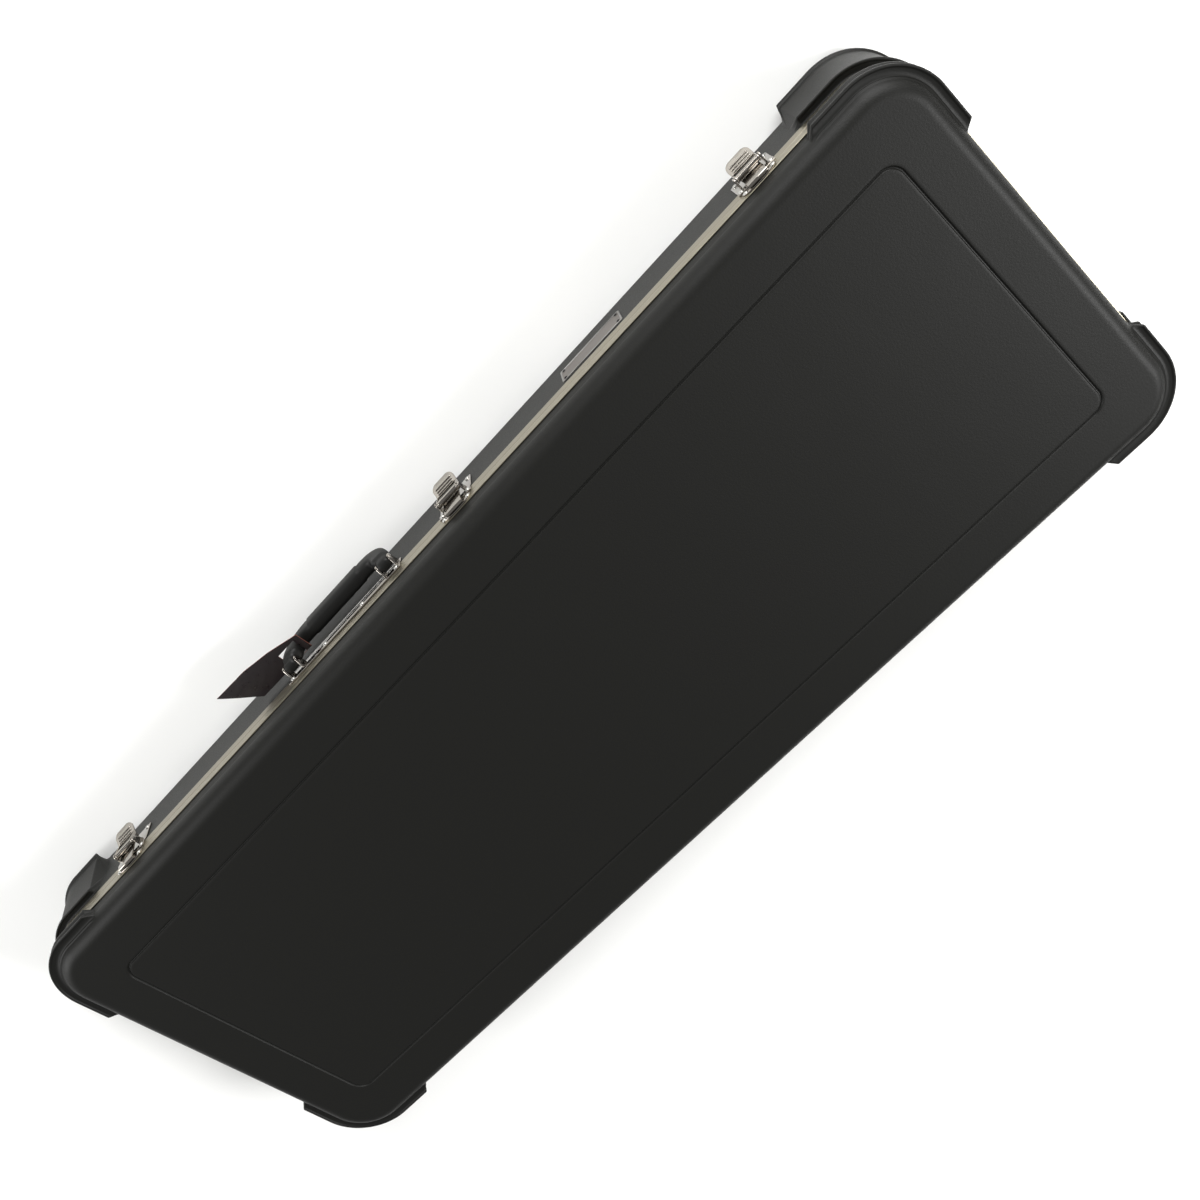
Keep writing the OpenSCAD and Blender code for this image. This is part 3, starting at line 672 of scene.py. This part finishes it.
rib_turn = add(ribbed, "FunctionNodeAlignRotationToVector",
               {"Vector": rib_arrow.outputs["Attribute"]}, axis="X")
bars = add(ribbed, "GeometryNodeInstanceOnPoints",
           {"Points": given.outputs["Places"], "Instance": bar.outputs["Geometry"],
            "Rotation": rib_turn.outputs["Rotation"]})
complete(ribbed, given, bars.outputs["Instances"])

# places in (out, z) from the parting line, with the latch shut
lever_at, link_at = Vector((9.3, -11)), Vector((5.8, -18))
thumb_start = link_at + Vector((3.2, -5))
thumb_way = Vector((0.5, -0.87)).normalized()
thumb_lift = Vector((-thumb_way.y, thumb_way.x))
thumb_len, thumb_w, thumb_corner, thumb_t = 13, 24, 6, 1.8
cheek_span, flange_span = (12.5, 14), (10.5, 12)  # from the latch's middle, along the wall
barrel_r, barrel_w = 2.5, 21.2
link_w, link_t, eye_r, eye_w = 19, 1.5, 2.4, 20
keeper_w, ledge_w = 34, 18
hook_top = 8.9                                   # over the keeper's ledge
rib_count, rib_len, rib_r = 3, 17, 1.0


def thumb_profile(s):
    """Middle of the tab's sheet at share s, in (out, z), slightly dished for the thumb."""
    return thumb_start + thumb_way * thumb_len * s - thumb_lift * 0.4 * math.sin(math.pi * s)


def thumb_half(s):
    """Half of the tab's width at share s, with a well rounded end."""
    left = (1 - s) * thumb_len
    if left > thumb_corner:
        return thumb_w / 2
    return thumb_w / 2 - thumb_corner + math.sqrt(thumb_corner ** 2 - (thumb_corner - left) ** 2)


def thumb_tab(steps=20, across=16):
    """The tab: a sheet along its profile with rounded rims."""
    mesh = bmesh.new()
    top, bottom = [], []
    for rows, side in ((top, thumb_t / 2), (bottom, -thumb_t / 2)):
        for k in range(steps + 1):
            s = k / steps
            ahead = thumb_profile(s + 0.01) - thumb_profile(s - 0.01)
            p = thumb_profile(s) + Vector((-ahead.y, ahead.x)).normalized() * side
            half = thumb_half(min(s, 0.995))
            rows.append([mesh.verts.new(Vector((half * (2 * j / across - 1), -p.x, p.y)) * mm)
                         for j in range(across + 1)])
    for k in range(steps):
        for j in range(across):
            mesh.faces.new((top[k][j], top[k][j + 1], top[k + 1][j + 1], top[k + 1][j]))
            mesh.faces.new((bottom[k][j], bottom[k + 1][j], bottom[k + 1][j + 1],
                            bottom[k][j + 1]))
    border = [(k, 0) for k in range(steps)] + [(steps, j) for j in range(across)] + \
        [(k, across) for k in range(steps, 0, -1)] + [(0, j) for j in range(across, 0, -1)]
    for (a, b), (c, d) in zip(border, border[1:] + border[:1]):
        mesh.faces.new((top[a][b], top[c][d], bottom[c][d], bottom[a][b]))
    bmesh.ops.recalc_face_normals(mesh, faces=mesh.faces)
    return softened(mesh, 0.6, 3, 50)


def latch_plate():
    """The base plate: a stepped sheet with a cheek on each side of the lever."""
    mesh = softened(extruded(joggled(-latch_h, -band_h), -latch_w / 2, latch_w / 2, "side"),
                    0.45)
    cheek = wrapped([(lever_at, 3.0), ((1.0, -8.0), 0.5), ((0.4, -17.0), 0.5)])
    for s in (-1, 1):
        low, high = sorted(s * u for u in cheek_span)
        merge(mesh, softened(extruded(cheek, low, high, "side"), 0.35, 2))
    return mesh


def latch_lever():
    """The lever: two flanges on a rolled barrel, with the thumb tab across their feet."""
    mesh = extruded(disc(lever_at, barrel_r), -barrel_w / 2, barrel_w / 2, "side")
    flange = wrapped([(lever_at, 2.9), (link_at, 2.5), (thumb_start, 1.0)])
    for s in (-1, 1):
        low, high = sorted(s * u for u in flange_span)
        merge(mesh, softened(extruded(flange, low, high, "side"), 0.4, 2))
    return merge(mesh, thumb_tab())


def latch_link():
    """The link: a strap from its rolled eye up to the hook over the keeper's ledge."""
    front, back = link_at.x + link_t / 2, link_at.x - link_t / 2
    outer = rounded([(front, link_at.y), (front, hook_top), (link_at.x - 2.6, hook_top),
                     (link_at.x - 2.6, hook_top - 2.0)], 2.2, 5)
    inner = rounded([(back, link_at.y), (back, hook_top - 1.5),
                     (link_at.x - 1.5, hook_top - 1.5), (link_at.x - 1.5, hook_top - 2.0)],
                    0.6, 3)
    strap = extruded(outer + list(reversed(inner)), -link_w / 2, link_w / 2, "side")
    eye = extruded(disc(link_at, eye_r), -eye_w / 2, eye_w / 2, "side")
    return merge(softened(strap, 0.4, 2), softened(eye, 0.3, 2, 60))


def latch_keeper():
    """The keeper: a half-round plate with a ledge that the hook grips."""
    half = keeper_w / 2
    crescent = [(-half, 1.4)]
    for a in range(-90, 91, 10):
        turn = math.radians(a)
        crescent.append((half * math.sin(turn), 3.2 + 5.8 * math.cos(turn)))
    mesh = softened(extruded(crescent + [(half, 1.4)], flange_t, face_out, "wall"), 0.4, 2)
    ledge = extruded([(face_out - 0.5, 5.0), (4.5, 5.0), (4.5, 6.4), (face_out - 0.5, 6.4)],
                     -ledge_w / 2, ledge_w / 2, "side")
    return merge(mesh, softened(ledge, 0.4, 2))


for i, x in enumerate(latch_x, 1):
    matrix = wall_frame(x, -1)
    for name, mesh, body, node in (
            (f"latch_plate_{i}", latch_plate(), "case_base", f"latch_base_{i}"),
            (f"lever_{i}", latch_lever(), f"latch_lever_{i}_body", f"latch_lever_{i}"),
            (f"link_{i}", latch_link(), f"latch_link_{i}_body", f"latch_link_{i}"),
            (f"keeper_{i}", latch_keeper(), "case_lid", f"latch_keeper_{i}")):
        mesh.transform(matrix)
        part = piece(name, mesh, nickel)
        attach(part, body)
        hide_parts(node)

    crests = [thumb_profile(0.14 + 0.22 * k) + thumb_lift * 0.75 for k in range(rib_count)]
    points = [matrix @ (Vector((0, -p.x, p.y)) * mm) / mm for p in crests]
    arrow = matrix.to_3x3() @ Vector((1, 0, 0))
    ribs = grown(f"lever_ribs_{i}", points, [], ribbed,
                 {"Length": rib_len * mm, "Radius": rib_r * mm, "Material": nickel},
                 arrows=[arrow] * rib_count)
    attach(ribs, f"latch_lever_{i}_body")

    for pin in (f"lever_pivots_{i}", f"link_pin_{i}"):
        dress(pin, zinc_plate)

# ---- Handle ----
# A moulded soft-touch grip over a steel bar, hung on two steel pins between the ears of one
# long nickel-plated rail, which is riveted through the valance.
grip_span, pivot_out, pivot_drop = 124, 9, 14
ear_r, ear_span = 3.9, (6.5, 8.5)                # the ears stand either side of an arm
mesh = softened(extruded(joggled(-pivot_drop - 5, -band_h), -rail_len / 2, rail_len / 2,
                         "side"), 0.5)
ear = wrapped([((pivot_out, -pivot_drop), ear_r), ((1.6, -8.5), 0.6), ((1.2, -18.0), 0.6)])
for s in (-1, 1):
    for t in (-1, 1):
        low, high = sorted(s * grip_span / 2 + t * u for u in ear_span)
        merge(mesh, softened(extruded(ear, low, high, "side"), 0.45, 2))
mesh.transform(wall_frame(handle_x, -1))
rail = piece("handle_plate", mesh, nickel)
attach(rail, "case_base")
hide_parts("handle_rail")

# Soft black vinyl: dull, with fine even pores 0.8 mm apart.
soft_vinyl, tree, shader, coords = finish("soft_black_vinyl", "#0e0e0d", 0.5)
shader.inputs["Specular IOR Level"].default_value = 0.25
pores = add(tree, "ShaderNodeTexVoronoi", {"Vector": coords, "Scale": 1 / (0.8 * mm)})
add(tree, "ShaderNodeBump", {"Height": pores.outputs["Distance"], "Strength": 0.5,
                             "Distance": 0.08 * mm}, shader.inputs["Normal"])


def superellipse(centre, across, half_a, half_b, power=3.4, count=36):
    """A soft-cornered section: half_a along across in the wall's plane, half_b outwards."""
    ring = []
    for k in range(count):
        a = math.tau * k / count
        c, s = math.cos(a), math.sin(a)
        u = math.copysign(abs(c) ** (2 / power), c) * half_a
        v = math.copysign(abs(s) ** (2 / power), s) * half_b
        ring.append((centre[0] + across.x * u, -(centre[2] + v), centre[1] + across.y * u))
    return ring


# One arm from its eye down, as (along, z) of its outer and inner edge and, for its depth,
# (out, half thickness). Then the shoulder's two quarter turns and half of the grip's length.
outer_edge = [(-67.2, -8.9), (-68.1, -10.0), (-68.2, -12), (-68.2, -14), (-68.2, -16),
              (-68.2, -17.5), (-68.2, -19), (-68.2, -20), (-68.2, -20.8), (-68.2, -21.4),
              (-68.2, -22)]
inner_edge = [(-56.8, -8.9), (-55.9, -10.0), (-55.8, -12), (-55.8, -14), (-55.8, -16.5),
              (-55.4, -18.0), (-53.4, -19.2), (-51.2, -20.6), (-50.4, -22), (-50.2, -23.4),
              (-50.2, -25)]
depth = [(9, 2.8), (9, 4.4), (9, 5.2), (9, 5.2), (9, 5.2), (9.1, 5.4), (9.4, 6.0), (9.6, 6.5),
         (9.6, 6.6), (9.6, 6.6), (9.6, 6.6)]
for k in range(1, 19):
    a = math.radians(180 + 5 * k)
    outer_edge.append((-34.2 + 34 * math.cos(a), -22 + 26 * math.sin(a)))
    inner_edge.append((-43.2 + 7 * math.cos(a), -25 + 7 * math.sin(a)))
    depth.append((9.6, 6.6))
for x in (-33.4, -32.8, -32.0, -20, 0):
    sleeve = 0 if x < -33 else 0.6 if x < -32.5 else 0.9   # the middle's thicker sleeve
    outer_edge.append((x, -47.1 - sleeve))
    inner_edge.append((x, -32.2 + sleeve * 0.2))
    depth.append((9.6, 6.5 + sleeve))
rings = []
for (ox, oz), (ix, iz), (out, half) in zip(outer_edge, inner_edge, depth):
    o, i = Vector((ox, oz)), Vector((ix, iz))
    mid, across = (o + i) / 2, (o - i).normalized()
    rings.append(superellipse((mid.x, mid.y, out), across, (o - i).length / 2, half))
rings += [[(-p[0], p[1], p[2]) for p in ring] for ring in reversed(rings[:-1])]
mesh = loft(rings)
mesh.transform(wall_frame(handle_x, -1))
grip = piece("handle_body", mesh, soft_vinyl, 50)
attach(grip, "handle")
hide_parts("handle_grip")
dress("handle_core", zinc_plate)
dress("handle_pins", nickel, 0.5)

# ---- Swing tag ----
# A blank card with a slot at one end, slipped over an arm of the grip. It sags a little
# towards its free end, and its cut edges show the red-brown core of the board.
tag_slot, card_t = (20, 16), 0.8
tag_near, tag_bend, tag_far = -16.0, 13.0, 50.0  # along the wall from the arm's middle
tag_low, tag_high = -21.5, 7.5                   # out from the wall, and in towards it
arm_mid = grip_span / 2 + 6.2 - 9
slot_x = [-tag_slot[0] / 2, tag_slot[0] / 2]
slot_low, slot_high = -tag_slot[1] / 2, tag_slot[1] / 2 - 0.6
x_lines = sorted({tag_near, *slot_x, -13.0, 47.5,
                  *(tag_bend + (tag_far - tag_bend) * k / 12 for k in range(13))})
y_lines = sorted({tag_low, slot_low, slot_high, tag_high, -18.5, -15.0, -11.5, -4.0, 0.0, 4.0})
mesh = bmesh.new()


def on_tag(x, y):
    """Narrows the card towards the arm, slants its free end and lets it sag."""
    if y < slot_low:
        y = slot_low + (y - slot_low) * min(1.0, 0.12 + 0.88 * (x - tag_near) / 45)
    slant = max(0.0, x - tag_bend) / (tag_far - tag_bend) * (tag_high - y)
    sag = -4.5 * (max(0.0, x + slant - 8) / 70) ** 2 - 0.9 * (max(0.0, slot_low - y) / 14) ** 2
    return Vector((x + slant, y, sag))


verts = {(x, y): mesh.verts.new(on_tag(x, y) * mm) for x in x_lines for y in y_lines}
for x0, x1 in zip(x_lines, x_lines[1:]):
    for y0, y1 in zip(y_lines, y_lines[1:]):
        inside = slot_x[0] <= x0 and x1 <= slot_x[1] and y0 >= slot_low and y1 <= slot_high
        if not inside:
            mesh.faces.new((verts[x0, y0], verts[x1, y0], verts[x1, y1], verts[x0, y1]))
loose = [v for v in mesh.verts if not v.link_faces]
bmesh.ops.delete(mesh, geom=loose, context="VERTS")
bmesh.ops.recalc_face_normals(mesh, faces=mesh.faces)
bmesh.ops.solidify(mesh, geom=mesh.faces[:], thickness=card_t * mm)
mesh.transform(wall_frame(handle_x, -1) @ Matrix.Translation(
    Vector((arm_mid, -10, -27.7)) * mm))

# Coated black card, a little glossy, with a coating that pools unevenly over the board.
black_card, tree, shader, coords = finish("coated_black_card", "#191314", 0.32)
coating = add(tree, "ShaderNodeTexNoise", {"Vector": coords, "Scale": 1 / (5 * mm), "Detail": 3})
add(tree, "ShaderNodeMapRange", {"Value": coating.outputs["Fac"], "From Min": 0.3, "From Max": 0.7,
                                 "To Min": 0.26, "To Max": 0.4}, shader.inputs["Roughness"])

# The raw edge of the card is red-brown board, streaked by its pressed fibres.
raw_board, tree, shader, coords = finish("red_brown_board", "#6e3a2c", 0.8)
fibres = add(tree, "ShaderNodeTexNoise", {"Vector": coords, "Scale": 1 / (0.5 * mm), "Detail": 3})
streaks = add(tree, "ShaderNodeMix", {0: fibres.outputs["Fac"], 6: linear("#5c2e22"),
                                      7: linear("#804838")},
              data_type="RGBA")                  # sockets 6 and 7 are its two colours
tree.links.new(streaks.outputs[2], shader.inputs["Base Color"])
tag = piece("tag_card", mesh, black_card)
tag.data.materials.append(raw_board)
for face in tag.data.polygons:
    if abs(face.normal.z) < 0.5:
        face.material_index = 1
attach(tag, "handle")
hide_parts("swing_tag")

# ---- Nameplate ----
# A blank stamped aluminium plate with a raised rim round its etched field, held by four
# small rivets painted nearly black as painted shade. It follows the slant of the base wall.
half_long, half_high, plate_corner = 34.5, 13.5, 1.5
rim_w, rim_rise = 1.3, 0.4


def plate_ring(inset, out):
    """The plate's outline moved inwards by inset, at a height over the wall."""
    r = max(0.3, plate_corner - inset)
    return [((half_long - inset - r) * u + r * math.cos(a), -out,
             (half_high - inset - r) * w + r * math.sin(a))
            for u, w, corner in ((1, -1, 270), (1, 1, 0), (-1, 1, 90), (-1, -1, 180))
            for a in (math.radians(corner + t) for t in (0, 30, 60, 90))]


mesh = loft([plate_ring(0, 0), plate_ring(0, 0.75), plate_ring(0.25, 1), plate_ring(rim_w, 1),
             plate_ring(rim_w + 0.3, 1 - rim_rise)])
lean = Matrix.Rotation(draft, 4, "X")
mesh.transform(wall_frame(name_x, -1) @ Matrix.Translation(
    Vector((0, -base_wall(-name_drop), -name_drop)) * mm) @ lean)
# Aluminium brushed along its length: long fine scratches blur the reflections sideways.
brushed, tree, shader, coords = finish("brushed_aluminium", "#8e8c89", 0.3, 1.0,
                                       Anisotropic=0.6)
squeezed = add(tree, "ShaderNodeMapping", {"Vector": coords,
                                           "Scale": (1 / (14 * mm), 1 / (0.2 * mm),
                                                     1 / (0.2 * mm))})
scratches = add(tree, "ShaderNodeTexNoise", {"Vector": squeezed.outputs["Vector"], "Scale": 1,
                                             "Detail": 4})
add(tree, "ShaderNodeMapRange", {"Value": scratches.outputs["Fac"], "From Min": 0.3,
                                 "From Max": 0.7, "To Min": 0.24, "To Max": 0.5},
    shader.inputs["Roughness"])

# The field is etched matt and greyer than the rim.
etched, tree, shader, coords = finish("etched_aluminium", "#7a7571", 0.5, 1.0)
pits = add(tree, "ShaderNodeTexNoise", {"Vector": coords, "Scale": 1 / (0.5 * mm), "Detail": 2})
add(tree, "ShaderNodeBump", {"Height": pits.outputs["Fac"], "Strength": 0.4,
                             "Distance": 0.05 * mm}, shader.inputs["Normal"])
nameplate = piece("blank_nameplate", mesh, brushed)
nameplate.data.materials.append(etched)
for face in nameplate.data.polygons:
    if face.normal.y < -0.9 and face.area > 500 * mm * mm:
        face.material_index = 1
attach(nameplate, "case_base")
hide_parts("nameplate")

# ---- Hinges ----
# Three nickel-plated butt hinges on the back of the valance, with three knuckles each on a
# plain steel pin.
for i in (1, 2, 3):
    dress(f"hinge_base_leaf_{i}", nickel, 0.35)
    dress(f"hinge_lid_leaf_{i}", nickel, 0.35)
    dress(f"hinge_pin_{i}", zinc_plate, 0.3)

# ---- Plush lining ----
# Moulded foam blocks covered in short charcoal plush: the insert that holds the guitar, the
# neck's cradle and the pad glued inside the lid.

# Charcoal plush: dark, with a soft grey sheen where the pile is seen edge on, and clumps of
# pile a few millimetres across lying different ways.
plush, tree, shader, coords = finish("charcoal_plush", "#1d1a1c", 0.95)
shader.inputs["Sheen Weight"].default_value = 0.25
shader.inputs["Sheen Roughness"].default_value = 0.6
clumps = add(tree, "ShaderNodeTexNoise", {"Vector": coords, "Scale": 1 / (6 * mm), "Detail": 4,
                                          "Distortion": 1.5})
pile = add(tree, "ShaderNodeTexNoise", {"Vector": coords, "Scale": 1 / (0.6 * mm), "Detail": 2})
shade = add(tree, "ShaderNodeMix", {0: clumps.outputs["Fac"], 6: linear("#151315"),
                                    7: linear("#262124")}, data_type="RGBA")
tree.links.new(shade.outputs[2], shader.inputs["Base Color"])
nap = add(tree, "ShaderNodeBump", {"Height": pile.outputs["Fac"], "Distance": 0.6 * mm})
add(tree, "ShaderNodeBump", {"Height": clumps.outputs["Fac"], "Distance": 1.2 * mm,
                             "Normal": nap.outputs["Normal"]}, shader.inputs["Normal"])


def cushioned(name, node, voxel, rounds, crown=None):
    """Foam under cloth: the node's solid with its edges rounded over, then crowned."""
    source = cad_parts[node]
    mesh = bmesh.new()
    mesh.from_mesh(source.data)
    bmesh.ops.remove_doubles(mesh, verts=mesh.verts, dist=1e-6)
    made = piece(name, mesh, plush)
    remesh = made.modifiers.new("remesh", "REMESH")
    remesh.mode = "VOXEL"
    remesh.voxel_size = voxel * mm
    smooth = made.modifiers.new("smooth", "SMOOTH")
    smooth.factor = 0.5
    smooth.iterations = rounds
    depsgraph = bpy.context.evaluated_depsgraph_get()
    data = bpy.data.meshes.new_from_object(made.evaluated_get(depsgraph))
    made.modifiers.clear()
    made.data = data
    data.polygons.foreach_set("use_smooth", [True] * len(data.polygons))
    data.materials.clear()
    data.materials.append(plush)
    if crown:
        for v in data.vertices:
            v.co += crown(v.co / mm) * mm
    return made


insert = cushioned("plush_insert", "foam_insert", 4.0, 3)
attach(insert, "case_base")
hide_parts("foam_insert")
cradle = cushioned("plush_cradle", "neck_cradle", 1.6, 4)
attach(cradle, "case_base")
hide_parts("neck_cradle")

pad_low, pad_high = (Vector(c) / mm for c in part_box("lid_pad"))


def pad_crown(p):
    """The pad swells a few millimetres in its middle, away from the lid."""
    u = 2 * (p.x - pad_low.x) / (pad_high.x - pad_low.x) - 1
    v = 2 * (p.y - pad_low.y) / (pad_high.y - pad_low.y) - 1
    under = max(0.0, min(1.0, (pad_high.z - p.z) / (pad_high.z - pad_low.z)))
    swell = max(0.0, 1 - u ** 4) * max(0.0, 1 - v ** 4)
    return Vector((0, 0, 2.5 * under * (1 - swell)))


pad = cushioned("plush_pad", "lid_pad", 3.0, 4, pad_crown)
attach(pad, "case_lid")
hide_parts("lid_pad")

# ---- Accessory cover ----
# A thin board wrapped in the same plush closes the box beside the neck. It hinges on a strip
# of woven tape and lifts by a ribbon tab.
cover = cushioned("plush_cover", "accessory_lid", 1.2, 3)
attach(cover, "accessory_cover")
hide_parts("accessory_lid")

# Woven ribbon: fine crosswise cords half a millimetre apart.
ribbon, tree, shader, coords = finish("woven_ribbon", "#4a4248", 0.8)
cords = add(tree, "ShaderNodeTexWave", {"Vector": coords, "Scale": 1 / (3.2 * mm),
                                        "Distortion": 0.3}, bands_direction="X")
add(tree, "ShaderNodeBump", {"Height": cords.outputs["Fac"], "Distance": 0.15 * mm},
    shader.inputs["Normal"])
dress("accessory_pull_tab", ribbon, 0.3)
dress("accessory_hinge_tape", ribbon, 0.2)
